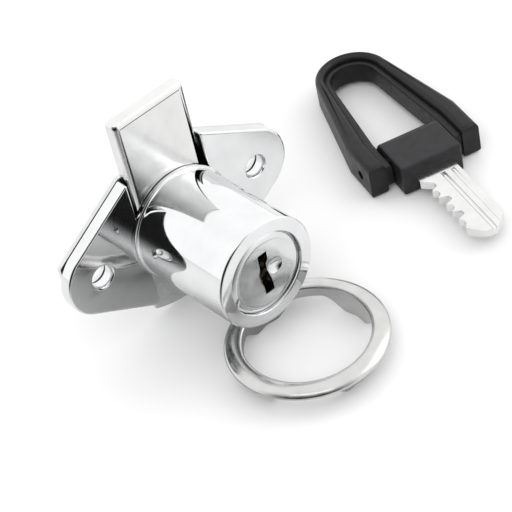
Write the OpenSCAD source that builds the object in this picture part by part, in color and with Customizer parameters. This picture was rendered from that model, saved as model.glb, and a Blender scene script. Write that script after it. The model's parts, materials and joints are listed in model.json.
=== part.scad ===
// Drawer lock with a sliding dead bolt, its trim ring and one folding key.
// X runs along the screw holes, Y from the key face (-) to the back plate (+), Z along the bolt.
// The origin is midway between the two screw holes, on the mounting face of the flange.

/* [Barrel] */
// Outside diameter of the barrel
barrel_d = 20; // [18:0.5:24]
// Length of the barrel in front of the mounting face
barrel_l = 22; // [21:0.5:30]
// Diameter of the low collar at the root of the barrel
collar_d = 21; // [20.4:0.2:21.6]

/* [Flange] */
// Distance between the two screw holes
screw_pitch = 35; // [33:0.5:40]
// Diameter of each screw hole
screw_hole_d = 4.2; // [3.5:0.1:5]
// Radius of the rounded end of each ear
ear_r = 7; // [5.5:0.1:7]
// Fall of the ears' straight edges, height over width
ear_fall = 0.6; // [0.5:0.05:0.7]
// Thickness of the ears
flange_t = 2.4; // [2:0.1:3]
// Width of the channel between the ears, which the bolt slides in
channel_w = 16.2; // [15.8:0.1:17]

/* [Back plate] */
// Thickness of the steel back plate
plate_t = 0.9; // [0.6:0.1:1.5]
// Gap between the ears and the back plate
plate_gap = 0.4; // [0.3:0.1:0.8]
// Radius of the round end of the plate's lower tongue
tongue_r = 18.3; // [17.5:0.1:19]

/* [Bolt] */
// Width of the bolt
bolt_w = 15.2; // [14.6:0.1:15.2]
// Thickness of the bolt
bolt_t = 2.4; // [2:0.1:2.4]
// Height of the bolt's tip above the barrel's axis when it is thrown
bolt_tip = 25.2; // [23:0.1:30]
// Height of the bolt's lower end when it is thrown
bolt_foot = -6.6; // [-8:0.1:-6]
// Slope cut round the bolt's visible edges
bolt_bevel = 0.7; // [0.2:0.1:1]

/* [Plug] */
// Diameter of the plug's head
head_d = 15; // [14:0.1:15.4]
// Diameter of the plug's body
plug_d = 12; // [11.6:0.1:12.4]
// Height of the keyway
keyway_h = 8.3; // [8.2:0.1:8.6]
// Width of the keyway
keyway_w = 1.9; // [1.9:0.1:2.2]
// Distance of the drive pin from the plug's axis
pin_throw = 4.75; // [4:0.05:4.75]
// Diameter of the drive pin
pin_d = 2.4; // [2:0.1:2.4]

/* [Wafers] */
// Thickness of a wafer
wafer_t = 0.9; // [0.7:0.05:0.95]
// Width of a wafer
wafer_w = 7; // [6.4:0.1:7]
// Distance from one wafer to the next
wafer_pitch = 2; // [2:0.05:2.1]
// Distance that a wafer springs out of the plug
wafer_throw = 0.7; // [0.4:0.1:0.8]

/* [Trim ring] */
// Outside diameter of the trim ring
ring_d = 28.5; // [26:0.5:30]
// Diameter of the hole in the trim ring
ring_hole_d = 22; // [21:0.1:22]
// Height of the ring's crown above its outer edge
ring_rise = 1.2; // [1:0.1:2]
// Height of the ring from the ends of its tabs to its crown
ring_h = 5.2; // [4.5:0.1:6]

/* [Key] */
// Width of the key's handle at its base
handle_w = 23; // [21:0.5:25]
// Thickness of the key's handle
handle_t = 7; // [6.6:0.1:8]
// Length of the blade in front of its carrier
blade_l = 21; // [20:0.5:21]
// Height of the blade
blade_h = 8; // [7.6:0.1:8]
// Thickness of the blade
blade_t = 1.7; // [1.4:0.1:1.7]
// Turn of the key on the bench
key_turn = -17.5; // [-30:0.5:0]

/* [Hidden] */
$fn = 96;
eps = 0.01;
fit_gap = 0.05;                     // radial gap of a running fit
bench_z = -18.5;                    // the bench that the ring and the key lie on
key_place = [49, -6, bench_z + handle_t / 2];
ring_place = [2.4, -25.6, bench_z + ring_h];

barrel_r = barrel_d / 2;
front_y = -barrel_l;
collar_l = 0.8;
edge_cut = 0.4;                     // small bevel round the barrel's front edge
head_r = head_d / 2;
plug_r = plug_d / 2;
head_t = 2.5;                       // thickness of the plug's head
head_back_y = front_y + head_t;
tail_y = -0.2;                      // rear face of the plug
ear_x = screw_pitch / 2;
ear_normal = atan2(1, ear_fall);    // direction that the straight edges face
ear_apex = ear_x * ear_fall + ear_r * norm([1, ear_fall]);
plate_y = flange_t + plate_gap;
plate_apex = ear_apex - 0.36;       // the plate's edges lie just inside the ears'
plate_half_w = ear_x + 5.7;
plate_hole_r = screw_hole_d / 2 + 0.2;
tongue_half_w = channel_w / 2 - 0.1;
rivet_at = [11.2, 8.2];             // from the barrel's axis, mirrored both ways
rivet_r = 1.1;
rivet_head_r = 1.7;
rivet_head_t = 0.55;
rivet_depth = 1.6;                  // how far a rivet goes into its ear

bolt_y = 0.15;                      // clearance between the barrel's root and the bolt
bolt_travel = 2 * pin_throw;
pin_slot_gap = 0.15;
groove_r = plug_r + wafer_throw + 0.35;
groove_w = wafer_w + 0.6;
wafer_count = 6;
wafer_front_y = front_y + 4;
wafer_slot_gap = 0.06;
wafer_back_y = wafer_front_y + (wafer_count - 1) * wafer_pitch;
window_w = 2.6;
window_h = 8.5;
wafer_cuts = [0, 0.35, 0.1, 0.45, 0.2, 0.3];  // how far each wafer's window is shifted
arm_reach = 5;                      // outer end of a wafer's spring arm, from the axis
arm_low = 0.6;
arm_t = 0.9;
spring_x = 4.3;
spring_r = 0.5;
spring_wire_r = 0.11;
spring_turns = 5;
pocket_r = 0.68;
pocket_floor = -2.6;

lock_pin_y = -5.2;                  // the pin that holds the plug in
lock_pin_tilt = 12.5;               // its angle above the side of the barrel
lock_pin_r = 0.8;
lock_pin_in = 5.3;
lock_pin_out = barrel_r - 0.5;
neck_r = 5.15;                      // bottom of the groove that it runs in
neck_w = 1.9;

ring_r = ring_d / 2;
ring_hole_r = ring_hole_d / 2;
ring_wall = 0.45;
ring_collar_l = 2;
tab_gap_r = 5.6;                    // radius of the gaps between the ring's tabs
tab_count = 4;

handle_base_y = -4;
handle_shoulder_y = 5;
apex_y = 24.6;
apex_r = 7.5;
loop_r = 4.6;
loop_half_w = 6.5;
carrier_w = 12.4;
carrier_t = 6.2;
carrier_front_y = -7;
carrier_tail_r = 4.5;
tang_y = -1.8;
fold_pin_r = 0.9;
cut_pitch = 2.4;
cut_depths = [1.2, 2.2, 1.6, 2.4, 1.4, 1.9];  // bitting of the key
ward_r = 0.55;                      // grooves along the blade

WAFERS = [for (i = [0:wafer_count - 1]) str("wafer_", i + 1)];
SPRINGS = [for (i = [0:wafer_count - 1]) str("wafer_spring_", i + 1)];

// ---- helpers ----

// Extrudes an outline drawn in X and Z, from y0 to y1.
module slab(y0, y1) {
    translate([0, y1, 0]) rotate([90, 0, 0]) linear_extrude(y1 - y0) children();
}

// A round bar along Y.
module bar_y(r, y0, y1) {
    slab(y0, y1) circle(r);
}

module mirror_both_ways() {
    for (sx = [0, 1], sz = [0, 1]) mirror([sx, 0, 0]) mirror([0, 0, sz]) children();
}

module mirror_both_ways_flat() {
    for (sx = [0, 1], sz = [0, 1]) mirror([sx, 0]) mirror([0, sz]) children();
}

// Both screw holes, as an outline.
module screw_holes(r) {
    for (side = [-1, 1]) translate([side * ear_x, 0]) circle(r);
}

// A diamond whose straight edges fall away from an apex above and below the axis.
module diamond(apex) {
    half_w = apex / ear_fall;
    polygon([[half_w, 0], [0, apex], [-half_w, 0], [0, -apex]]);
}

// ---- fixed parts of the lock ----

module flange_outline() {
    tip = [ear_x + ear_r * cos(ear_normal), ear_r * sin(ear_normal)];
    polygon([
        tip, [0, ear_apex], [-tip[0], tip[1]],
        [-tip[0], -tip[1]], [0, -ear_apex], [tip[0], -tip[1]]
    ]);
    for (side = [-1, 1]) translate([side * ear_x, 0]) circle(ear_r);
}

module ears() {
    difference() {
        slab(0, flange_t) difference() {
            flange_outline();
            screw_holes(screw_hole_d / 2);
            square([channel_w, 3 * ear_apex], center = true);
        }
        mirror_both_ways() translate([rivet_at[0], 0, rivet_at[1]])
            bar_y(rivet_r + eps, flange_t - rivet_depth, flange_t + eps);
    }
}

// The barrel's outside: a straight bar with a bevelled front edge and a low collar at its root.
module barrel_outside() {
    rotate([90, 0, 0]) rotate_extrude() polygon([
        [0, 0],
        [collar_d / 2, 0],
        [collar_d / 2, collar_l - 0.3],
        [barrel_r, collar_l],
        [barrel_r, barrel_l - edge_cut],
        [barrel_r - edge_cut, barrel_l],
        [0, barrel_l]
    ]);
}

module lock_pin_bar(r, inner, outer) {
    translate([0, lock_pin_y, 0]) rotate([0, lock_pin_tilt, 0]) rotate([0, -90, 0])
        translate([0, 0, inner]) cylinder(r = r, h = outer - inner);
}

module housing() {
    color("gainsboro") {
        ears();
        difference() {
            barrel_outside();
            bar_y(head_r + fit_gap, front_y - eps, head_back_y + fit_gap);
            bar_y(plug_r + fit_gap, front_y, eps);
            slab(wafer_front_y - 1, wafer_back_y + 1) intersection() {
                circle(groove_r);
                square([groove_w, 2 * groove_r], center = true);
            }
            lock_pin_bar(lock_pin_r + eps, lock_pin_in - 1, barrel_r + 1);
        }
    }
}

module plate_outline() {
    flat_top = plate_apex - tongue_half_w * ear_fall;
    intersection() {
        diamond(plate_apex);
        translate([-plate_half_w, -2 * flat_top]) square([2 * plate_half_w, 3 * flat_top]);
    }
    intersection() {
        circle(tongue_r);
        translate([-tongue_half_w, -tongue_r]) square([2 * tongue_half_w, tongue_r]);
    }
}

module back_plate() {
    color("silver") slab(plate_y, plate_y + plate_t) difference() {
        plate_outline();
        screw_holes(plate_hole_r);
        mirror_both_ways_flat() translate(rivet_at) circle(rivet_r + eps);
    }
}

module plate_rivets() {
    back_y = plate_y + plate_t;
    color("darkgray") mirror_both_ways() translate([rivet_at[0], 0, rivet_at[1]]) {
        bar_y(rivet_r, flange_t - rivet_depth + eps, back_y);
        translate([0, back_y, 0]) rotate([-90, 0, 0])
            cylinder(r1 = rivet_head_r, r2 = rivet_head_r - 0.4, h = rivet_head_t);
    }
}

module plug_retaining_pin() {
    color("dimgray") lock_pin_bar(lock_pin_r, lock_pin_in, lock_pin_out);
}

// ---- plug ----

// The keyway's section: a straight slot narrowed by a ward on each side.
module keyway_outline() {
    difference() {
        square([keyway_w, keyway_h], center = true);
        translate([keyway_w / 2 + 0.1, keyway_h * 0.22]) circle(ward_r);
        translate([-keyway_w / 2 - 0.1, -keyway_h * 0.24]) circle(ward_r);
    }
    translate([-keyway_w / 2, 0]) circle(ward_r);
}

// The slot that a wafer slides in, with room for its arm and its spring.
module wafer_slot() {
    slot_t = wafer_t + 2 * wafer_slot_gap;
    cube([wafer_w + 2 * wafer_slot_gap, slot_t, 2 * plug_d], center = true);
    translate([0, -slot_t / 2, arm_low - 0.1])
        cube([arm_reach + 0.1, slot_t, arm_t + wafer_throw + 0.2]);
    translate([spring_x, 0, pocket_floor]) cylinder(r = pocket_r, h = arm_low - pocket_floor, $fn = 32);
}

// Puts a child at the place of wafer i; every second one is turned over.
module at_wafer(i) {
    translate([0, wafer_front_y + i * wafer_pitch, 0]) rotate([0, 180 * (i % 2), 0]) children();
}

module plug() {
    dish = 0.35;                    // depth of the hollow in the plug's face
    face_r = head_r - 1.1;
    dimple_r = 1.55;
    color("whitesmoke") difference() {
        rotate([90, 0, 0]) rotate_extrude() polygon([
            [0, -tail_y],
            [plug_r, -tail_y],
            [plug_r, -lock_pin_y - neck_w / 2],
            [neck_r, -lock_pin_y - neck_w / 2],
            [neck_r, -lock_pin_y + neck_w / 2],
            [plug_r, -lock_pin_y + neck_w / 2],
            [plug_r, -head_back_y],
            [head_r, -head_back_y],
            [head_r, barrel_l - 0.55],
            [face_r, barrel_l - 0.1],
            [0, barrel_l - dish]
        ]);
        slab(front_y - 1, wafer_back_y + 1.6) keyway_outline();
        translate([1.8, front_y + dish + 0.25, 0.4]) rotate([90, 0, 0]) cylinder(r = dimple_r, h = 2);
        for (i = [0:wafer_count - 1]) at_wafer(i) wafer_slot();
        translate([0, 0, pin_throw]) bar_y(pin_d / 2 + eps, tail_y - 3, 1);
    }
}

module drive_pin() {
    color("darkgray") translate([0, 0, pin_throw]) bar_y(pin_d / 2, tail_y - 3 + eps, bolt_y + bolt_t - 0.1);
}

// A flat plate with a window for the key and an arm for its spring.
module wafer(i) {
    color("goldenrod") at_wafer(i) slab(-wafer_t / 2, wafer_t / 2) {
        difference() {
            intersection() {
                circle(plug_r - 0.02);
                square([wafer_w, plug_d], center = true);
            }
            translate([0, wafer_cuts[i] - 0.2]) square([window_w, window_h], center = true);
        }
        translate([wafer_w / 2 - 0.2, arm_low]) square([arm_reach - wafer_w / 2 + 0.2, arm_t]);
    }
}

// A small coil spring: a wire of few sides swept along a helix.
module wafer_spring(i) {
    steps = 10;
    sides = 5;
    rings = spring_turns * steps;
    low = pocket_floor + spring_wire_r + 0.03;
    rise = arm_low - 0.03 - spring_wire_r - low;
    points = [
        for (k = [0:rings], s = [0:sides - 1])
            let (a = 360 * k / steps, b = 360 * s / sides, r = spring_r + spring_wire_r * cos(b))
                [r * cos(a), r * sin(a), low + rise * k / rings + spring_wire_r * sin(b)]
    ];
    walls = [
        for (k = [0:rings - 1], s = [0:sides - 1])
            let (t = (s + 1) % sides)
                [k * sides + s, k * sides + t, (k + 1) * sides + t, (k + 1) * sides + s]
    ];
    first_end = [[for (s = [sides - 1:-1:0]) s]];
    last_end = [[for (s = [0:sides - 1]) rings * sides + s]];
    color("silver") at_wafer(i) translate([spring_x, 0, 0])
        polyhedron(points, concat(walls, first_end, last_end));
}

// ---- bolt ----

// How far the drive pin runs ahead of the bolt after the plug has turned by the angle a.
function pin_lead(a) = pin_throw * (cos(a) - 1) + bolt_travel * a / 180;

// Where the drive pin is in the bolt at the angle a, and which way the slot's wall lies from it.
function pin_path(a) = [pin_throw * sin(a), pin_throw + pin_lead(a)];
function path_slope(a) = [cos(a), 2 / PI - sin(a)];
function wall_side(a) = [-path_slope(a)[1], path_slope(a)[0]] / norm(path_slope(a));

// The room that the drive pin sweeps in the bolt over its half turn.
module pin_slot() {
    slot_r = pin_d / 2 + pin_slot_gap;
    polygon(concat(
        [for (a = [0:10:180]) pin_path(a) + slot_r * wall_side(a)],
        [for (b = [225:-15:135]) pin_path(0) + slot_r * [cos(b), sin(b)]]
    ));
}

// A flat bar whose front edges and tip are bevelled, with the pin slot through it.
module bolt() {
    half_w = bolt_w / 2;
    back_y = bolt_y + bolt_t;
    tip_bevel = bolt_bevel + 0.15;
    color("lightgray") difference() {
        intersection() {
            translate([0, 0, bolt_foot]) linear_extrude(bolt_tip - bolt_foot) polygon([
                [-half_w, back_y], [-half_w, bolt_y + bolt_bevel], [-half_w + bolt_bevel, bolt_y],
                [half_w - bolt_bevel, bolt_y], [half_w, bolt_y + bolt_bevel], [half_w, back_y]
            ]);
            translate([-bolt_w, 0, 0]) rotate([90, 0, 90]) linear_extrude(2 * bolt_w) polygon([
                [bolt_y - 1, bolt_foot - 1], [back_y + 1, bolt_foot - 1], [back_y + 1, bolt_tip],
                [bolt_y + tip_bevel, bolt_tip], [bolt_y - 1, bolt_tip - tip_bevel - 1]
            ]);
        }
        slab(bolt_y - 1, back_y + 1) pin_slot();
    }
}

// ---- trim ring ----

// Section of the ring, from the end of its collar over the crown to its outer edge.
module ring_section() {
    crown_r = ring_hole_r + 0.9;
    polygon([
        [ring_hole_r, -ring_h],
        [ring_hole_r, -0.45],
        [ring_hole_r + 0.3, -0.08],
        [crown_r, 0],
        [ring_r - 0.9, -0.75 * ring_rise + 0.3],
        [ring_r, -ring_rise],
        [ring_r, -ring_rise - 0.2],
        [ring_r - ring_wall, -ring_rise - 0.2],
        [crown_r, -ring_wall],
        [ring_hole_r + ring_wall, -0.7],
        [ring_hole_r + ring_wall, -ring_h]
    ]);
}

// The collar reaches down as tabs, with a round gap between each two.
module trim_ring() {
    color("lightgray") translate(ring_place) difference() {
        rotate_extrude() ring_section();
        for (k = [0:tab_count - 1]) rotate([0, 0, 360 * (k + 0.5) / tab_count])
            translate([ring_hole_r - 2, 0, -ring_collar_l - tab_gap_r]) rotate([0, 90, 0])
                cylinder(r = tab_gap_r, h = 4);
    }
}

// ---- folding key ----

module at_key() {
    translate(key_place) rotate([0, 0, key_turn]) children();
}

// Angle at which a straight side meets a round end of radius r, as seen from the end's centre.
function meet_angle(x, y, r) = acos(r / norm([x, y])) - atan2(y, x);

// Half-round end on a tapering body, open to the front.
module loop_outline(half_w, shoulder_y, base_y, r) {
    a = meet_angle(half_w, apex_y - shoulder_y, r);
    end = [r * cos(a), apex_y + r * sin(a)];
    polygon([
        [half_w, base_y], [half_w, shoulder_y], end,
        [-end[0], end[1]], [-half_w, shoulder_y], [-half_w, base_y]
    ]);
    translate([0, apex_y]) circle(r);
}

module key_handle() {
    half_t = handle_t / 2;
    color([0.1, 0.1, 0.11]) at_key() difference() {
        translate([0, 0, -half_t]) linear_extrude(handle_t) difference() {
            loop_outline(handle_w / 2, handle_shoulder_y, handle_base_y, apex_r);
            loop_outline(loop_half_w, handle_shoulder_y - 1, handle_base_y - 1, loop_r);
        }
        rotate([0, 90, 0]) cylinder(r = fold_pin_r + eps, h = handle_w - 2, center = true);
    }
}

module key_fold_pin() {
    color("silver") at_key() rotate([0, 90, 0])
        cylinder(r = fold_pin_r, h = handle_w - 2 - 2 * eps, center = true);
}

module key_carrier() {
    slot_h = blade_h + 2 * eps;
    color([0.16, 0.16, 0.17]) at_key() difference() {
        union() {
            translate([-carrier_w / 2, carrier_front_y, -carrier_t / 2])
                cube([carrier_w, -carrier_front_y, carrier_t]);
            intersection() {
                rotate([0, 90, 0]) cylinder(r = carrier_tail_r, h = carrier_w, center = true);
                translate([-carrier_w / 2, -eps, -carrier_t / 2])
                    cube([carrier_w, carrier_tail_r + 1, carrier_t]);
            }
        }
        translate([-slot_h / 2, carrier_front_y - 1, -blade_t / 2 - eps])
            cube([slot_h, tang_y - carrier_front_y + 1 + eps, blade_t + 2 * eps]);
        rotate([0, 90, 0]) cylinder(r = fold_pin_r + fit_gap, h = carrier_w + 1, center = true);
    }
}

module blade_outline() {
    tip_y = carrier_front_y - blade_l;
    half_h = blade_h / 2;
    difference() {
        polygon([
            [-half_h, tang_y], [half_h, tang_y], [half_h, tip_y + 2.5],
            [1.2, tip_y], [-1.2, tip_y], [-half_h, tip_y + 3]
        ]);
        for (i = [0:len(cut_depths) - 1])
            translate([-half_h, tip_y + 4.4 + i * cut_pitch]) polygon([
                [-1, -1.2 - 0.7], [cut_depths[i], -0.45], [cut_depths[i], 0.45], [-1, 1.2 + 0.7]
            ]);
    }
}

module key_blade() {
    tip_y = carrier_front_y - blade_l;
    color("lightgray") at_key() difference() {
        translate([0, 0, -blade_t / 2]) linear_extrude(blade_t) blade_outline();
        for (side = [-1, 1]) translate([side * 1.5 + 0.9, tip_y - 1, side * (blade_t / 2 + 0.1)])
            rotate([-90, 0, 0]) cylinder(r = ward_r, h = blade_l - 1, $fn = 32);
    }
}

housing();
back_plate();
plate_rivets();
plug();
drive_pin();
plug_retaining_pin();
bolt();
for (i = [0:wafer_count - 1]) wafer(i);
for (i = [0:wafer_count - 1]) wafer_spring(i);
trim_ring();
key_handle();
key_fold_pin();
key_carrier();
key_blade();
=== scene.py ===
import json
import math
import bmesh
import bpy
from mathutils import Matrix, Vector
from mathutils.geometry import tessellate_polygon


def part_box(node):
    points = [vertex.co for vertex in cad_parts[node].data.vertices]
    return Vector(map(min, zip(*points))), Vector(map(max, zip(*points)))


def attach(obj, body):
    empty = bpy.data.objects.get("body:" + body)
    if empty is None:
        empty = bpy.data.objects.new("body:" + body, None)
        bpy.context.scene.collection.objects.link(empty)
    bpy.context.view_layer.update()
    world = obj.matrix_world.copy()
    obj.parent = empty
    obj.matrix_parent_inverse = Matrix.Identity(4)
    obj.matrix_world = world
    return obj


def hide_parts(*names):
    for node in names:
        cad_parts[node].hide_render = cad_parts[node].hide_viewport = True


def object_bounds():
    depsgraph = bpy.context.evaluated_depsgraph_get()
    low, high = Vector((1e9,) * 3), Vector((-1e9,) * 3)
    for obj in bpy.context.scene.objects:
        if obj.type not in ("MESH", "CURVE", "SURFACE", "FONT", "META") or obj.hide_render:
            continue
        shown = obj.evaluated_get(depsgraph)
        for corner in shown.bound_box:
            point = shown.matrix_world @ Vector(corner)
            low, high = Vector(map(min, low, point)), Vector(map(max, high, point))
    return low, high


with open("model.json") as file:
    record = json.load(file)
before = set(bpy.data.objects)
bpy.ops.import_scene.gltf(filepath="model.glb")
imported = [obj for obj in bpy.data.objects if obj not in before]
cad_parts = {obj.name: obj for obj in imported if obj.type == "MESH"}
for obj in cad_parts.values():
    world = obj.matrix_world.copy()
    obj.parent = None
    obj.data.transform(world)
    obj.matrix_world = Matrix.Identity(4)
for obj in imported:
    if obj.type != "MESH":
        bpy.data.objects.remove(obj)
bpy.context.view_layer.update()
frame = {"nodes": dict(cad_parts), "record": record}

MM = 0.001
RECORD = frame["record"]
MOUNTS = {mount["name"]: mount for mount in RECORD["mounts"]}
JOINTS = {joint["name"]: joint for joint in RECORD["behaviour"]["joints"]}


# ---- camera ----

CAMERA_AZIMUTH, CAMERA_ELEVATION = -33.1, 41.1      # degrees
CAMERA_ROLL = math.radians(-13.9)
CAMERA_DISTANCE = 0.3
CAMERA_LENS = 123.5
CAMERA_AIM = Vector((6.0, -10.8, -6.8)) * MM        # from the lock's origin


def heading(azimuth, elevation):
    """The direction with an azimuth from the front toward +X and an elevation, both in degrees."""
    a, e = math.radians(azimuth), math.radians(elevation)
    return Vector((math.sin(a) * math.cos(e), -math.cos(a) * math.cos(e), math.sin(e)))


def make_camera():
    data = bpy.data.cameras.new("camera")
    data.sensor_width = 36
    data.lens = CAMERA_LENS
    data.clip_start, data.clip_end = 0.01, 10
    camera = bpy.data.objects.new("camera", data)
    bpy.context.scene.collection.objects.link(camera)
    back = heading(CAMERA_AZIMUTH, CAMERA_ELEVATION)
    turn = (-back).to_track_quat("-Z", "Y").to_matrix() @ Matrix.Rotation(CAMERA_ROLL, 3, "Z")
    camera.matrix_world = Matrix.Translation(CAMERA_AIM + back * CAMERA_DISTANCE) @ turn.to_4x4()
    bpy.context.scene.camera = camera


make_camera()


# ---- mesh tools ----

def new_piece(name, points, faces):
    """A mesh object with its origin at the lock's origin."""
    mesh = bpy.data.meshes.new(name)
    mesh.from_pydata([tuple(p) for p in points], [], faces)
    mesh.validate()
    mesh.update()
    piece = bpy.data.objects.new(name, mesh)
    bpy.context.scene.collection.objects.link(piece)
    return piece


def join_faces(piece, sharp_angle=35):
    """Shades a piece smooth, apart from its sharp edges, with flat faces kept flat."""
    piece.data.shade_smooth()
    piece.data.set_sharp_from_angle(angle=math.radians(sharp_angle))
    flatten = piece.modifiers.new("flat_faces", "WEIGHTED_NORMAL")
    flatten.keep_sharp = True
    return piece


def combine(piece, other, operation):
    """Unites a piece with another mesh or cuts the other out of it; the other is used up."""
    step = piece.modifiers.new("combine", "BOOLEAN")
    step.operation = operation
    step.solver = "EXACT"
    step.object = other
    graph = bpy.context.evaluated_depsgraph_get()
    made = bpy.data.meshes.new_from_object(piece.evaluated_get(graph))
    piece.modifiers.remove(step)
    piece.data = made
    bpy.data.objects.remove(other)
    return piece


def signed_area(loop):
    return sum(a[0] * b[1] - b[0] * a[1] for a, b in zip(loop, loop[1:] + loop[:1])) / 2


def inset(loop, distance):
    """Moves each point of a closed loop to the left of its direction of travel."""
    moved = []
    for before, here, after in zip(loop[-1:] + loop[:-1], loop, loop[1:] + loop[:1]):
        a = (Vector(here) - Vector(before)).normalized()
        b = (Vector(after) - Vector(here)).normalized()
        side = Vector((-a.y - b.y, a.x + b.x))
        side = side.normalized() / max(math.sqrt(max((1 + a.dot(b)) / 2, 0)), 0.3)
        moved.append((here[0] + side.x * distance, here[1] + side.y * distance))
    return moved


def rounded(corners, steps=8):
    """A closed loop through corners (x, y, radius), each rounded by an arc."""
    loop = []
    flat = [Vector(c[:2]) for c in corners]
    for i, (x, y, radius) in enumerate(corners):
        here = flat[i]
        back = (flat[i - 1] - here).normalized()
        ahead = (flat[(i + 1) % len(flat)] - here).normalized()
        if radius <= 0:
            loop.append((x, y))
            continue
        half = back.angle(ahead) / 2
        reach = radius / math.tan(half)
        centre = here + (back + ahead).normalized() * (radius / math.sin(half))
        start, end = here + back * reach - centre, here + ahead * reach - centre
        sweep = start.angle_signed(end)
        for k in range(steps + 1):
            arm = Matrix.Rotation(-sweep * k / steps, 2) @ start
            loop.append((centre.x + arm.x, centre.y + arm.y))
    return loop


def circle(x, y, radius, steps=64):
    """A closed loop round a point."""
    return [
        (x + radius * math.cos(2 * math.pi * k / steps), y + radius * math.sin(2 * math.pi * k / steps))
        for k in range(steps)
    ]


def plate(name, loops, low, high, edge, place, steps=4):
    """A flat plate with rounded edges: the first loop is its outline and the rest are holes.

    edge is the rounding radius, or one for the low side and one for the high side."""
    low_edge, high_edge = edge if isinstance(edge, tuple) else (edge, edge)
    wound = [
        list(loop) if (signed_area(loop) > 0) == (i == 0) else list(reversed(loop))
        for i, loop in enumerate(loops)
    ]
    levels = []
    for k in range(steps + 1):
        a = math.pi / 2 * k / steps
        levels.append((low_edge * (1 - math.sin(a)), low + low_edge * (1 - math.cos(a))))
    for k in range(steps + 1):
        a = math.pi / 2 * k / steps
        levels.append((high_edge * (1 - math.cos(a)), high - high_edge * (1 - math.sin(a))))
    points, faces, count = [], [], sum(len(loop) for loop in wound)
    for distance, height in levels:
        for loop in wound:
            points += [(x, y, height) for x, y in inset(loop, distance)]
    start = 0
    for loop in wound:
        size = len(loop)
        for level in range(len(levels) - 1):
            base = level * count + start
            for k in range(size):
                n = (k + 1) % size
                faces.append((base + k, base + n, base + count + n, base + count + k))
        start += size
    top = count * (len(levels) - 1)
    flat = [[Vector((x, y, 0)) for x, y in inset(loop, low_edge)] for loop in wound]
    for a, b, c in tessellate_polygon(flat):
        turn = (flat_point(flat, b) - flat_point(flat, a)).cross(flat_point(flat, c) - flat_point(flat, a)).z
        up = (a, b, c) if turn > 0 else (a, c, b)
        faces.append(tuple(reversed(up)))
        faces.append(tuple(top + i for i in up))
    return new_piece(name, [place @ Vector(p) for p in points], faces)


def flat_point(loops, index):
    """The point with a running number over several loops."""
    for loop in loops:
        if index < len(loop):
            return loop[index]
        index -= len(loop)


def lathe(name, profile, place, closed=False, steps=160):
    """Turns a profile of (radius, height) about the local Z axis; profile may be a function of the angle."""
    shape = profile if callable(profile) else (lambda angle: profile)
    points, faces = [], []
    count = len(shape(0))
    for s in range(steps):
        angle = 2 * math.pi * s / steps
        for radius, height in shape(angle):
            points.append(place @ Vector((radius * math.cos(angle), radius * math.sin(angle), height)))
    for s in range(steps):
        here, after = s * count, (s + 1) % steps * count
        for k in range(count if closed else count - 1):
            n = (k + 1) % count
            faces.append((here + k, after + k, after + n, here + n))
    piece = new_piece(name, points, faces)
    weld(piece)
    return piece


def weld(piece):
    """Joins points that meet, as on a lathe's axis, and turns every face outward."""
    work = bmesh.new()
    work.from_mesh(piece.data)
    bmesh.ops.remove_doubles(work, verts=work.verts, dist=1e-7)
    bmesh.ops.recalc_face_normals(work, faces=work.faces)
    work.to_mesh(piece.data)
    work.free()


def gather(name, parts):
    """One mesh made of several, which are used up."""
    points, faces = [], []
    for part in parts:
        base = len(points)
        points += [v.co.copy() for v in part.data.vertices]
        faces += [tuple(base + i for i in face.vertices) for face in part.data.polygons]
        bpy.data.objects.remove(part)
    return new_piece(name, points, faces)


def block(low, high):
    """A plain box, used only to cut with."""
    outline = [(low[0], low[1]), (high[0], low[1]), (high[0], high[1]), (low[0], high[1])]
    return plate("cutter", [outline], low[2], high[2], 0, Matrix.Identity(4), steps=1)


def rod(radius, low, high, place, steps=64):
    """A round bar along local Z."""
    return lathe("cutter", [(0, low), (radius, low), (radius, high), (0, high)], place, steps=steps)


# Local Z of a turned or flat piece of the lock points to the front, and local X and Y to world X and Z.
FACING = Matrix(((1, 0, 0, 0), (0, 0, -1, 0), (0, 1, 0, 0), (0, 0, 0, 1)))


def aimed(start, direction, upright=(0, 0, 1)):
    """Places local Z along a direction."""
    z = Vector(direction).normalized()
    x = Vector(upright).cross(z).normalized()
    y = z.cross(x)
    return Matrix.Translation(start) @ Matrix((x, y, z)).transposed().to_4x4()


def finish_piece(piece, body, material, nodes, sharp_angle=35):
    """Shades and paints a piece, ties it to its body and hides the CAD nodes that it stands for."""
    join_faces(piece, sharp_angle)
    piece.data.materials.clear()
    piece.data.materials.append(material)
    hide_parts(*nodes)
    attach(piece, body)
    return piece


# ---- materials ----

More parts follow.
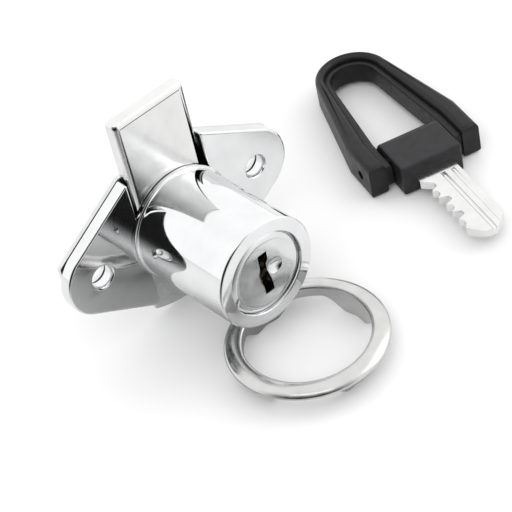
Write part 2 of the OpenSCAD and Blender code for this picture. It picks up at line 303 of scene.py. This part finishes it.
class Nodes:
    """A short way to build a material's node tree."""

    def __init__(self, name):
        self.material = bpy.data.materials.new(name)
        self.material.use_nodes = True
        self.tree = self.material.node_tree
        self.shader = self.tree.nodes["Principled BSDF"]
        self.place = self.tree.nodes.new("ShaderNodeTexCoord").outputs["Object"]

    def node(self, kind, **settings):
        made = self.tree.nodes.new(kind)
        for key, value in settings.items():
            setattr(made, key, value)
        return made

    def link(self, source, target):
        self.tree.links.new(source, target)

    def stretched(self, scale):
        mapping = self.node("ShaderNodeMapping")
        mapping.inputs["Scale"].default_value = scale
        self.link(self.place, mapping.inputs["Vector"])
        return mapping.outputs["Vector"]

    def noise(self, scale, detail=3, where=None):
        made = self.node("ShaderNodeTexNoise")
        made.inputs["Scale"].default_value = scale
        made.inputs["Detail"].default_value = detail
        self.link(where or self.place, made.inputs["Vector"])
        return made.outputs["Fac"]

    def ramp(self, value, low, high, start=0.3, end=0.7):
        made = self.node("ShaderNodeValToRGB")
        made.color_ramp.elements[0].position, made.color_ramp.elements[1].position = start, end
        made.color_ramp.elements[0].color = (*low, 1)
        made.color_ramp.elements[1].color = (*high, 1)
        self.link(value, made.inputs["Fac"])
        return made.outputs["Color"]

    def span(self, value, low, high):
        made = self.node("ShaderNodeMapRange")
        made.inputs["From Min"].default_value, made.inputs["From Max"].default_value = 0.3, 0.7
        made.inputs["To Min"].default_value, made.inputs["To Max"].default_value = low, high
        self.link(value, made.inputs["Value"])
        return made.outputs["Result"]

    def bump(self, value, height, strength=1.0):
        made = self.node("ShaderNodeBump")
        made.inputs["Distance"].default_value = height
        made.inputs["Strength"].default_value = strength
        self.link(value, made.inputs["Height"])
        self.link(made.outputs["Normal"], self.shader.inputs["Normal"])

    def colour(self, source):
        self.link(source, self.shader.inputs["Base Color"])

    def roughness(self, source):
        self.link(source, self.shader.inputs["Roughness"])


def metal(name, dark, light, rough, ripple, grain_scale=(1, 1, 1), grain=900):
    """Plated or bare metal: slight tint clouds, uneven roughness and a fine ripple."""
    m = Nodes(name)
    m.shader.inputs["Metallic"].default_value = 1
    m.colour(m.ramp(m.noise(220, 4), dark, light))
    streaks = m.noise(grain, 4, m.stretched(grain_scale))
    m.roughness(m.span(streaks, *rough))
    m.bump(streaks, ripple)
    return m.material


def moulded_plastic(name, dark, light):
    """Black moulded plastic with a spark-eroded texture."""
    m = Nodes(name)
    m.colour(m.ramp(m.noise(500, 5), dark, light))
    pits = m.noise(5200, 2)
    m.shader.inputs["Specular IOR Level"].default_value = 0.3
    m.roughness(m.span(m.noise(900, 3), 0.36, 0.5))
    m.bump(pits, 0.00004, 0.55)
    return m.material


def floor_paint():
    """A matt, nearly white floor."""
    m = Nodes("studio_floor")
    m.colour(m.ramp(m.noise(9, 2), (0.7, 0.7, 0.7), (0.72, 0.72, 0.72)))
    m.roughness(m.span(m.noise(40, 3), 0.75, 0.85))
    return m.material


CHROME = metal("polished_chrome", (0.7, 0.705, 0.71), (0.76, 0.765, 0.77), (0.035, 0.075), 0.0000006)
PLUG_CHROME = metal("plug_chrome", (0.64, 0.645, 0.65), (0.72, 0.725, 0.73), (0.06, 0.12), 0.000001)
BOLT_NICKEL = metal("bolt_nickel", (0.68, 0.68, 0.675), (0.76, 0.76, 0.755), (0.12, 0.2), 0.000002)
# The ring's nickel tone is partly real and partly painted shade: it is set darker to stand in for the grey of
# its reflections.
RING_NICKEL_AND_SHADE = metal("ring_nickel", (0.52, 0.52, 0.515), (0.6, 0.6, 0.595), (0.16, 0.26), 0.000002)
PLATE_STEEL = metal("plated_steel", (0.6, 0.605, 0.61), (0.7, 0.705, 0.71), (0.16, 0.28), 0.000002, (1, 9, 9))
RIVET_STEEL = metal("rivet_steel", (0.56, 0.57, 0.58), (0.68, 0.69, 0.7), (0.2, 0.34), 0.000004)
PIN_STEEL = metal("pin_steel", (0.5, 0.5, 0.51), (0.62, 0.62, 0.63), (0.18, 0.3), 0.000003)
SPRING_STEEL = metal("spring_steel", (0.55, 0.55, 0.56), (0.68, 0.68, 0.69), (0.18, 0.3), 0.000002)
# The wafers' brass is partly real and partly painted shade: it is set darker to stand in for the shade inside
# the keyway.
WAFER_BRASS_AND_SHADE = metal("wafer_brass", (0.36, 0.3, 0.19), (0.46, 0.39, 0.26), (0.22, 0.36), 0.000003, (8, 8, 1))
KEY_NICKEL = metal("key_nickel", (0.66, 0.66, 0.655), (0.74, 0.74, 0.735), (0.1, 0.2), 0.000002, (12, 1, 12))
HANDLE_PLASTIC = moulded_plastic("handle_plastic", (0.003, 0.003, 0.0035), (0.006, 0.006, 0.007))
CARRIER_PLASTIC = moulded_plastic("carrier_plastic", (0.008, 0.008, 0.009), (0.014, 0.014, 0.016))


# ---- the lock's fixed parts ----

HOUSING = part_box("housing")
BARREL_R = MOUNTS["barrel"]["dims"]["r_mm"] * MM
BARREL_L = -HOUSING[0].y
EAR_X = MOUNTS["screw_holes"]["dims"]["spacing_x_mm"] * MM / 2
HOLE_R = MOUNTS["screw_holes"]["dims"]["hole_r_mm"] * MM
EAR_R = HOUSING[1].x - EAR_X
EAR_T = HOUSING[1].y
EAR_FALL = 0.6
EAR_TIP = EAR_X + EAR_R * math.hypot(1, EAR_FALL) / EAR_FALL     # where an ear's straight edges would meet
CHANNEL = 8.1 * MM                  # half the width of the bolt's channel
COLLAR_R = 10.45 * MM               # the step where the barrel meets the flange
HEAD_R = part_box("plug")[1].x
SEAT_L = 2.5 * MM                   # depth of the plug head's seat in the barrel
PLUG_R = 6 * MM
RUNNING_GAP = 0.06 * MM
PLATE_GAP = 0.3 * MM                # how far the back plate stays inside the ears' outline
RIVET_R, RIVET_HEAD_R = 1.1 * MM, 1.7 * MM
RIVET_AT = [
    (sx * (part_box("plate_rivets")[1].x - RIVET_HEAD_R), sz * (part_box("plate_rivets")[1].z - RIVET_HEAD_R))
    for sx in (-1, 1) for sz in (-1, 1)
]


def ear_height(x):
    """Half the height of an ear's outline at a distance from the middle."""
    return (EAR_TIP - x) * EAR_FALL


def ear(side):
    """One screw ear; side is -1 or 1."""
    outline = rounded([
        (side * CHANNEL, -ear_height(CHANNEL), 0.9 * MM),
        (side * EAR_TIP, 0, EAR_R),
        (side * CHANNEL, ear_height(CHANNEL), 0.35 * MM),
    ], steps=28)
    hole = circle(side * EAR_X, 0, HOLE_R)
    return plate("ear", [outline, hole], -EAR_T, 0, (0.25 * MM, 0.4 * MM), FACING)


def barrel():
    """The barrel with its collar, rounded front edge, counterbore and bore, as one turned section."""
    collar_l, edge = 0.75 * MM, 0.45 * MM
    seat_r, bore_r = HEAD_R + RUNNING_GAP, PLUG_R + RUNNING_GAP
    outside = [(bore_r, 0), (COLLAR_R - 0.1 * MM, 0), (COLLAR_R, 0.12 * MM), (COLLAR_R, collar_l - 0.25 * MM)]
    outside += [
        (COLLAR_R - 0.5 * MM * math.sin(a), collar_l - 0.25 * MM + 0.35 * MM * (1 - math.cos(a)))
        for a in (math.radians(d) for d in (30, 60, 90))
    ]
    outside += [(BARREL_R, y * MM) for y in (1.2, 2, 3, 4, 4.5, 5, 5.5, 6, 6.5, 7, 8, 10, 13, 16, 19)]
    front = [
        (BARREL_R - edge * (1 - math.cos(a)), BARREL_L - edge * (1 - math.sin(a)))
        for a in (math.radians(d) for d in range(0, 91, 15))
    ]
    inside = [
        (seat_r + 0.1 * MM, BARREL_L), (seat_r, BARREL_L - 0.1 * MM),
        (seat_r, BARREL_L - SEAT_L), (bore_r, BARREL_L - SEAT_L),
    ]
    return lathe("barrel", outside + front + inside, FACING, closed=True, steps=240)


def wafer_rows():
    """The span along Y of the wafers, and their boxes."""
    names = sorted(n for n in frame["nodes"] if n.startswith("wafer_") and "spring" not in n)
    boxes = [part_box(n) for n in names]
    return min(b[0].y for b in boxes), max(b[1].y for b in boxes), boxes


def make_housing():
    """The barrel and both ears, with the wafers' groove and the retaining pin's hole cut out."""
    body = barrel()
    low, high, boxes = wafer_rows()
    half_w, reach = 3.8 * MM, boxes[0][1].z + 1.05 * MM
    combine(body, block((-half_w, low - MM, -reach), (half_w, high + MM, reach)), "DIFFERENCE")
    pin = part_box("plug_retaining_pin")
    centre = (pin[0] + pin[1]) / 2
    outward = Vector((centre.x, 0, centre.z)).normalized()
    combine(body, rod(0.8 * MM, -3 * MM, 4 * MM, aimed(centre, outward, (0, 1, 0))), "DIFFERENCE")
    piece = gather("housing_casting", [body, ear(-1), ear(1)])
    return finish_piece(piece, "lock_case", CHROME, ["housing"])


def make_back_plate():
    """The sheet that closes the bolt's channel, with a round tongue below."""
    low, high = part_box("back_plate")
    half_w, top, bottom = high.x, high.z, low.z
    tongue = 8 * MM
    shoulder = ear_height(tongue) - PLATE_GAP
    end = ear_height(half_w) - PLATE_GAP
    arc_start = math.asin(tongue / -bottom)
    arc = [
        (-bottom * math.sin(a), bottom * math.cos(a), 0)
        for a in (-arc_start + 2 * arc_start * k / 16 for k in range(17))
    ]
    outline = rounded(
        [(half_w, end, 0.8 * MM), (tongue, top, 0.5 * MM), (-tongue, top, 0.5 * MM), (-half_w, end, 0.8 * MM),
         (-half_w, -end, 0.8 * MM), (-tongue, -shoulder, 0.4 * MM)]
        + arc + [(tongue, -shoulder, 0.4 * MM), (half_w, -end, 0.8 * MM)], steps=6)
    rivets = [circle(x, z, RIVET_R, 32) for x, z in RIVET_AT]
    holes = [circle(side * EAR_X, 0, HOLE_R + 0.2 * MM, 48) for side in (-1, 1)]
    piece = plate("back_plate_sheet", [outline] + holes + rivets, -high.y, -low.y, 0.12 * MM, FACING, steps=2)
    return finish_piece(piece, "lock_case", PLATE_STEEL, ["back_plate"])


def make_rivets():
    """Four peened rivets with domed heads behind the back plate."""
    low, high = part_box("plate_rivets")
    plate_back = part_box("back_plate")[1].y
    dome = high.y - plate_back
    profile = [(0, -low.y), (RIVET_R, -low.y), (RIVET_R, -plate_back), (RIVET_HEAD_R, -plate_back)]
    profile += [
        (RIVET_HEAD_R * math.cos(a), -plate_back - dome * math.sin(a))
        for a in (math.radians(d) for d in (10, 25, 40, 55, 70, 80))
    ] + [(0, -high.y)]
    rivets = [
        lathe("rivet", profile, Matrix.Translation((x, 0, z)) @ FACING, steps=40)
        for x, z in RIVET_AT
    ]
    piece = gather("peened_rivets", rivets)
    return finish_piece(piece, "lock_case", RIVET_STEEL, ["plate_rivets"])


# ---- plug and bolt ----

def keyway_loop():
    """The warded slot: a rib on the right above the middle, and a bulge on the left at the middle."""
    corners = [
        (-0.95, 4.15, 0.1), (0.95, 4.15, 0.1), (0.95, 2.4, 0.35), (0.45, 1.7, 0.4), (0.45, 0.2, 0.6),
        (0.95, -1.9, 0.5), (0.95, -4.15, 0.1), (-0.95, -4.15, 0.1), (-0.95, -2.2, 0.1), (-1.35, -1.5, 0.25),
        (-1.35, 0.5, 0.35), (-0.95, 1.2, 0.2),
    ]
    return rounded([(x * MM, z * MM, r * MM) for x, z, r in corners], steps=5)


def make_plug():
    """The turned plug with its dished face, then its keyway, dimple, wafer slots and pin socket."""
    low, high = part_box("plug")
    front, back = -low.y, -high.y
    face_r, dish, bevel = HEAD_R - 1.1 * MM, 0.35 * MM, 0.45 * MM
    neck_r, neck_low, neck_high = 5.15 * MM, 4.25 * MM, 6.15 * MM
    profile = [(0, back), (PLUG_R - 0.2 * MM, back), (PLUG_R, back + 0.2 * MM), (PLUG_R, neck_low),
               (neck_r, neck_low), (neck_r, neck_high), (PLUG_R, neck_high)]
    profile += [(PLUG_R, BARREL_L - SEAT_L), (HEAD_R, BARREL_L - SEAT_L), (HEAD_R, front - bevel - 0.1 * MM)]
    profile += [(HEAD_R - 0.1 * MM, front - bevel), (face_r + 0.12 * MM, front - 0.03 * MM), (face_r, front)]
    flat_r, lip_r, lip = 0.9 * MM, face_r - 0.12 * MM, 0.02 * MM
    for k in range(11):
        t = k / 10
        profile.append((lip_r + (flat_r - lip_r) * t, front - lip + (lip - dish) * t))
    profile.append((0, front - dish))
    piece = lathe("plug_cylinder", profile, FACING, steps=200)
    _, last, boxes = wafer_rows()
    keyway = plate("cutter", [keyway_loop()], -last - 1.6 * MM, front + MM, 0, FACING, steps=1)
    combine(piece, keyway, "DIFFERENCE")
    ball_r = 2.4 * MM
    ball = [
        (ball_r * math.sin(a), front + 1.55 * MM - ball_r * math.cos(a))
        for a in (math.pi * k / 48 for k in range(49))
    ]
    dimple = lathe("cutter", ball, Matrix.Translation((2 * MM, 0, 0.2 * MM)) @ FACING, steps=96)
    combine(piece, dimple, "DIFFERENCE")
    grow = Vector((0.06, 0.12, 2)) * MM
    for box in boxes:
        combine(piece, block(box[0] - grow, box[1] + grow), "DIFFERENCE")
    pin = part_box("drive_pin")
    socket = rod((pin[1].x - pin[0].x) / 2 + 0.01 * MM, -pin[1].y, -pin[0].y + 0.01 * MM,
                 Matrix.Translation((0, 0, (pin[0].z + pin[1].z) / 2)) @ FACING, 48)
    combine(piece, socket, "DIFFERENCE")
    return finish_piece(piece, "plug", PLUG_CHROME, ["plug"])


def make_bolt():
    """A flat bar with a broad rounded front edge and the slot that the drive pin runs in."""
    low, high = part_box("bolt")
    tail_r, tip_r = 0.6 * MM, 1.1 * MM
    outline = rounded([
        (low.x, low.z, tail_r), (high.x, low.z, tail_r), (high.x, high.z, tip_r), (low.x, high.z, tip_r),
    ])
    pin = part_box("drive_pin")
    throw = (pin[0].z + pin[1].z) / 2
    slot_r = (pin[1].x - pin[0].x) / 2 + 0.12 * MM

    def pin_lead(turned):
        """How far the drive pin runs ahead of the bolt at an angle in radians."""
        return throw * (math.cos(turned) - 1) + 2 * throw * turned / math.pi

    slot = []
    for k in range(37):
        turned = math.pi * k / 36
        slope = Vector((math.cos(turned), 2 / math.pi - math.sin(turned)))
        side = Vector((-slope.y, slope.x)).normalized() * slot_r
        slot.append((throw * math.sin(turned) + side.x, throw + pin_lead(turned) + side.y))
    slot += [
        (slot_r * math.cos(a), throw + slot_r * math.sin(a))
        for a in (math.radians(d) for d in range(225, 134, -15))
    ]
    piece = plate("sliding_bolt", [outline, slot], -high.y, -low.y, (0.2 * MM, 1.25 * MM), FACING, steps=8)
    return finish_piece(piece, "bolt", BOLT_NICKEL, ["bolt"], 50)


# ---- trim ring ----

def make_trim_ring():
    """A domed pressing on a thin collar that runs down into four wavy tabs."""
    low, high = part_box("trim_ring")
    centre = (low + high) / 2
    outer, hole, height = (high.x - low.x) / 2, 11 * MM, high.z - low.z
    wall, rise, lip, collar = 0.45 * MM, 1.2 * MM, 0.2 * MM, 2.1 * MM

    def section(angle):
        off = abs((math.degrees(angle) + 45) % 90 - 45)          # degrees from the nearest tab
        near = min(max((34 - off) / 26, 0), 1)
        wave = 0.07 * math.cos(math.radians(min(off, 12) * 15))
        tab = near * near * (3 - 2 * near) - wave
        foot = -(collar + (height - collar) * min(max(tab, 0), 0.995))
        crown = hole + MM
        dome = []
        for k in range(13):
            t = k / 12
            dome.append((crown + (outer - crown) * math.sin(t * math.pi / 2) ** 1.15,
                         -rise * (1 - math.cos(t * math.pi / 2)) ** 0.9))
        inner = [
            (hole + MM * (1 - math.cos(a)), -0.6 * MM * (1 - math.sin(a)))
            for a in (math.radians(d) for d in (0, 22, 45, 68))
        ]
        under = [(outer - 0.05 * MM, -rise - lip), (outer - wall, -rise - lip),
                 (crown + 0.6 * MM, -0.62 * MM), (hole + wall + 0.15 * MM, -0.72 * MM), (hole + wall, -MM)]
        ends = [(hole + wall, foot + 0.08 * MM), (hole + wall - 0.1 * MM, foot), (hole + 0.1 * MM, foot),
                (hole, foot + 0.08 * MM)]
        return inner + dome + under + ends

    place = Matrix.Translation((centre.x, centre.y, high.z))
    piece = lathe("trim_ring_pressing", section, place, closed=True, steps=320)
    return finish_piece(piece, "trim_ring", RING_NICKEL_AND_SHADE, ["trim_ring"], 50)


# ---- folding key ----

FOLD = Vector(JOINTS["key_fold"]["pos_m"])
FOLD_AXIS = Vector(JOINTS["key_fold"]["axis"])
KEY = aimed(FOLD, (0, 0, 1), FOLD_AXIS.cross(Vector((0, 0, 1))))


def make_key_handle():
    """The loop: two straight arms that meet in a round end, with a thinner ledge inside."""
    half_t = (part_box("key_handle")[1].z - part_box("key_handle")[0].z) / 2

    def loop(half_w, shoulder, base, apex, radius):
        """The round end, left arm and right arm of one edge of the loop."""
        reach = Vector((half_w, apex - shoulder))
        lean = math.acos(radius / reach.length) - math.atan2(reach.y, reach.x)
        tip = [
            (radius * math.cos(a), apex + radius * math.sin(a))
            for a in (lean + (math.pi - 2 * lean) * k / 36 for k in range(37))
        ]
        return tip, [(-half_w, shoulder), (-half_w, base)], [(half_w, base), (half_w, shoulder)]

    def horseshoe(outer, inner):
        tip, left, right = loop(*outer)
        inner_tip, inner_left, inner_right = loop(*inner)
        return right + tip + left + inner_left[::-1] + inner_tip[::-1] + inner_right[::-1]

    apex, foot, ledge_foot, step = 24.6 * MM, -4 * MM, -3.6 * MM, 1.3 * MM
    rim = horseshoe((11.5 * MM, 5 * MM, foot, apex, 7.5 * MM), (8 * MM, 4 * MM, foot, apex, 5.6 * MM))
    ledge = horseshoe(
        (8.3 * MM, 4 * MM, ledge_foot, apex, 5.9 * MM), (6.5 * MM, 4 * MM, ledge_foot, apex, 4.6 * MM),
    )
    parts = [
        plate("rim", [rim], -half_t, half_t, 1.1 * MM, KEY, steps=5),
        plate("ledge", [ledge], -half_t + step, half_t - step, 0.4 * MM, KEY, steps=3),
    ]
    pin_hole = KEY @ Matrix.Rotation(math.pi / 2, 4, "Y")
    for part in parts:
        combine(part, rod(0.95 * MM, -12 * MM, 12 * MM, pin_hole, 48), "DIFFERENCE")
    piece = gather("key_handle_loop", parts)
    return finish_piece(piece, "key_handle", HANDLE_PLASTIC, ["key_handle"], 40)


def make_key_carrier():
    """The block that holds the blade and turns on the fold pin, drawn from the side."""
    half_w, half_t = 6.2 * MM, 3.1 * MM
    outline = rounded([
        (-7 * MM, -half_t, 0.5 * MM), (2.6 * MM, -half_t, 2.6 * MM), (4.5 * MM, 0, 2.6 * MM),
        (2.6 * MM, half_t, 2.6 * MM), (-7 * MM, half_t, 0.5 * MM),
    ], steps=10)
    side = KEY @ Matrix(((0, 0, 1, 0), (1, 0, 0, 0), (0, 1, 0, 0), (0, 0, 0, 1)))
    piece = plate("key_carrier_block", [outline], -half_w, half_w, 0.45 * MM, side, steps=4)
    return finish_piece(piece, "key_blade", CARRIER_PLASTIC, ["key_carrier"], 40)


def make_key_blade():
    """The blade with six generic cuts and three ward grooves."""
    half_h, half_t = 4 * MM, 0.85 * MM
    tip, root = -28 * MM, -1.8 * MM
    cuts = []
    depths = [1.2, 2.2, 1.6, 2.4, 1.4, 1.9]
    for i, depth in enumerate(depths):
        y = tip + (4.4 + 2.4 * i) * MM
        deep = -half_h + depth * MM
        cuts += [(deep, y - 0.45 * MM, 0.15 * MM), (deep, y + 0.45 * MM, 0.15 * MM)]
        if i < len(depths) - 1:
            ridge = -half_h + min(depth, depths[i + 1]) * MM * 0.35
            cuts.append((ridge, y + 1.2 * MM, 0.12 * MM))
    outline = rounded(
        [(half_h, root, 0), (half_h, tip + 2.6 * MM, 1.0 * MM), (1.2 * MM, tip, 0.5 * MM),
         (-1.2 * MM, tip, 0.5 * MM), (-half_h + 0.4 * MM, tip + 2.8 * MM, 0.4 * MM)]
        + cuts + [(-half_h, tip + 18.6 * MM, 0.2 * MM), (-half_h, root, 0)], steps=4)
    piece = plate("key_blade_profile", [outline], -half_t, half_t, 0.12 * MM, KEY, steps=2)
    groove_r, groove_end = 0.5 * MM, -9.5 * MM
    along = Matrix.Rotation(-math.pi / 2, 4, "X")
    grooves = [
        (0.6 * MM, half_t + 0.05 * MM), (-1.2 * MM, -half_t - 0.05 * MM), (2.6 * MM, half_t + 0.3 * MM),
    ]
    for x, z in grooves:
        start = KEY @ Matrix.Translation((x, tip - MM, z)) @ along
        combine(piece, rod(groove_r, 0, groove_end - tip + MM, start, 32), "DIFFERENCE")
    return finish_piece(piece, "key_blade", KEY_NICKEL, ["key_blade"], 35)


# ---- carried-over nodes ----

def repaint():
    """Gives the pins, springs and wafers, which keep their CAD shape, a finish from above; the wafers' darker
    brass is partly painted shade.
    """
    plain = {"drive_pin": PIN_STEEL, "plug_retaining_pin": PIN_STEEL, "key_fold_pin": PIN_STEEL}
    for name, node in frame["nodes"].items():
        if name in plain:
            finish = plain[name]
        elif name.startswith("wafer_spring"):
            finish = SPRING_STEEL
        elif name.startswith("wafer_"):
            finish = WAFER_BRASS_AND_SHADE
        else:
            continue
        for place in node.material_slots:
            place.material = finish
        if not node.material_slots:
            node.data.materials.append(finish)


# ---- studio ----

def softbox(name, centre, width, height, watts):
    """A large area light that faces the lock."""
    data = bpy.data.lights.new(name, "AREA")
    data.shape = "RECTANGLE"
    data.size, data.size_y = width, height
    data.energy = watts
    light = bpy.data.objects.new(name, data)
    turn = (-Vector(centre)).to_track_quat("-Z", "Y").to_matrix().to_4x4()
    light.matrix_world = Matrix.Translation(centre) @ turn
    bpy.context.scene.collection.objects.link(light)


def shade(name, darkness, centre, toward, fade):
    """A dark see-through material that fades with the angle, in degrees, from a direction."""
    m = Nodes(name)
    m.shader.inputs["Base Color"].default_value = (*darkness, 1)
    m.shader.inputs["Roughness"].default_value = 0.9
    m.shader.inputs["Specular IOR Level"].default_value = 0
    offset = m.node("ShaderNodeVectorMath", operation="SUBTRACT")
    offset.inputs[1].default_value = centre
    m.link(m.place, offset.inputs[0])
    unit = m.node("ShaderNodeVectorMath", operation="NORMALIZE")
    m.link(offset.outputs["Vector"], unit.inputs[0])
    near = m.node("ShaderNodeVectorMath", operation="DOT_PRODUCT")
    near.inputs[1].default_value = Vector(toward).normalized()
    m.link(unit.outputs["Vector"], near.inputs[0])
    angle = m.node("ShaderNodeMath", operation="ARCCOSINE")
    m.link(near.outputs["Value"], angle.inputs[0])
    alpha = m.node("ShaderNodeMapRange", interpolation_type="SMOOTHSTEP")
    alpha.inputs["From Min"].default_value, alpha.inputs["From Max"].default_value = map(math.radians, fade)
    alpha.inputs["To Min"].default_value, alpha.inputs["To Max"].default_value = 1, 0
    m.link(angle.outputs["Value"], alpha.inputs["Value"])
    m.link(alpha.outputs["Result"], m.shader.inputs["Alpha"])
    return m.material


def reflected_only(piece, material):
    """A card of painted shade that only reflections show: the camera and the floor don't see it, the metal
    does.
    """
    piece.data.materials.append(material)
    piece.visible_camera = False
    piece.visible_diffuse = False
    piece.visible_shadow = False


def flat_card(name, low, high, level):
    """A level rectangle between two corners (x, y)."""
    corners = (low, (high[0], low[1]), high, (low[0], high[1]))
    return new_piece(name, [(x, y, level) for x, y in corners], [(0, 1, 2, 3)])


def make_painted_reflections(bench):
    """A soft painted dark reflection at the front left, which carries on across the floor, and a painted
    shadow under the barrel; the metal's reflections are all that show them.
    """
    centre = Vector((0, -0.5 * BARREL_L, 0))
    # Painted dark reflection: a dark card round the front left, seen only by the metal.
    dark = shade("front_left_shade", (0.012, 0.012, 0.012), centre, heading(-45, 18), (24, 66))
    rows, columns, reach = 24, 40, 0.35
    points = [
        centre + reach * heading(-120 + 150 * c / columns, -3 + 83 * r / rows)
        for r in range(rows + 1) for c in range(columns + 1)
    ]
    faces = [
        (k, k + 1, k + columns + 2, k + columns + 1)
        for k in (r * (columns + 1) + c for r in range(rows) for c in range(columns))
    ]
    reflected_only(new_piece("front_left_painted_reflection", points, faces), dark)
    # Painted dark reflection carried on across the floor in front, seen only by the metal.
    reflected_only(flat_card("floor_painted_reflection", (-0.34, -0.34), (0.2, 0), bench + 0.05 * MM), dark)
    # Painted shadow: a grey card on the floor under the barrel stands in for the shade there, seen only in
    # the metal's reflections.
    above = Vector((-0.006, -0.016, bench + 18 * MM))
    under = shade("under_barrel_shade", (0.36, 0.36, 0.36), above, (0, 0, -1), (20, 62))
    reflected_only(flat_card("under_barrel_painted_shadow", (-0.06, -0.06), (0.05, 0.03), bench + 0.08 * MM), under)


def make_studio():
    """A pale floor, a white surround and two soft lights."""
    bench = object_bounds()[0].z
    floor = flat_card("floor", (-6, -6), (6, 6), bench)
    floor.data.materials.append(floor_paint())
    world = bpy.data.worlds.new("studio")
    world.use_nodes = True
    world.node_tree.nodes["Background"].inputs["Color"].default_value = (1, 1, 1, 1)
    world.node_tree.nodes["Background"].inputs["Strength"].default_value = 1.3
    bpy.context.scene.world = world
    bpy.context.scene.view_settings.view_transform = "Standard"
    softbox("key_light", (-0.35, -0.35, 0.6), 0.5, 0.5, 2)
    softbox("fill_light", (0.6, -0.3, 0.45), 0.6, 0.6, 1.2)
    make_painted_reflections(bench)


make_housing()
make_back_plate()
make_rivets()
make_plug()
make_bolt()
make_trim_ring()
make_key_handle()
make_key_carrier()
make_key_blade()
repaint()
make_studio()
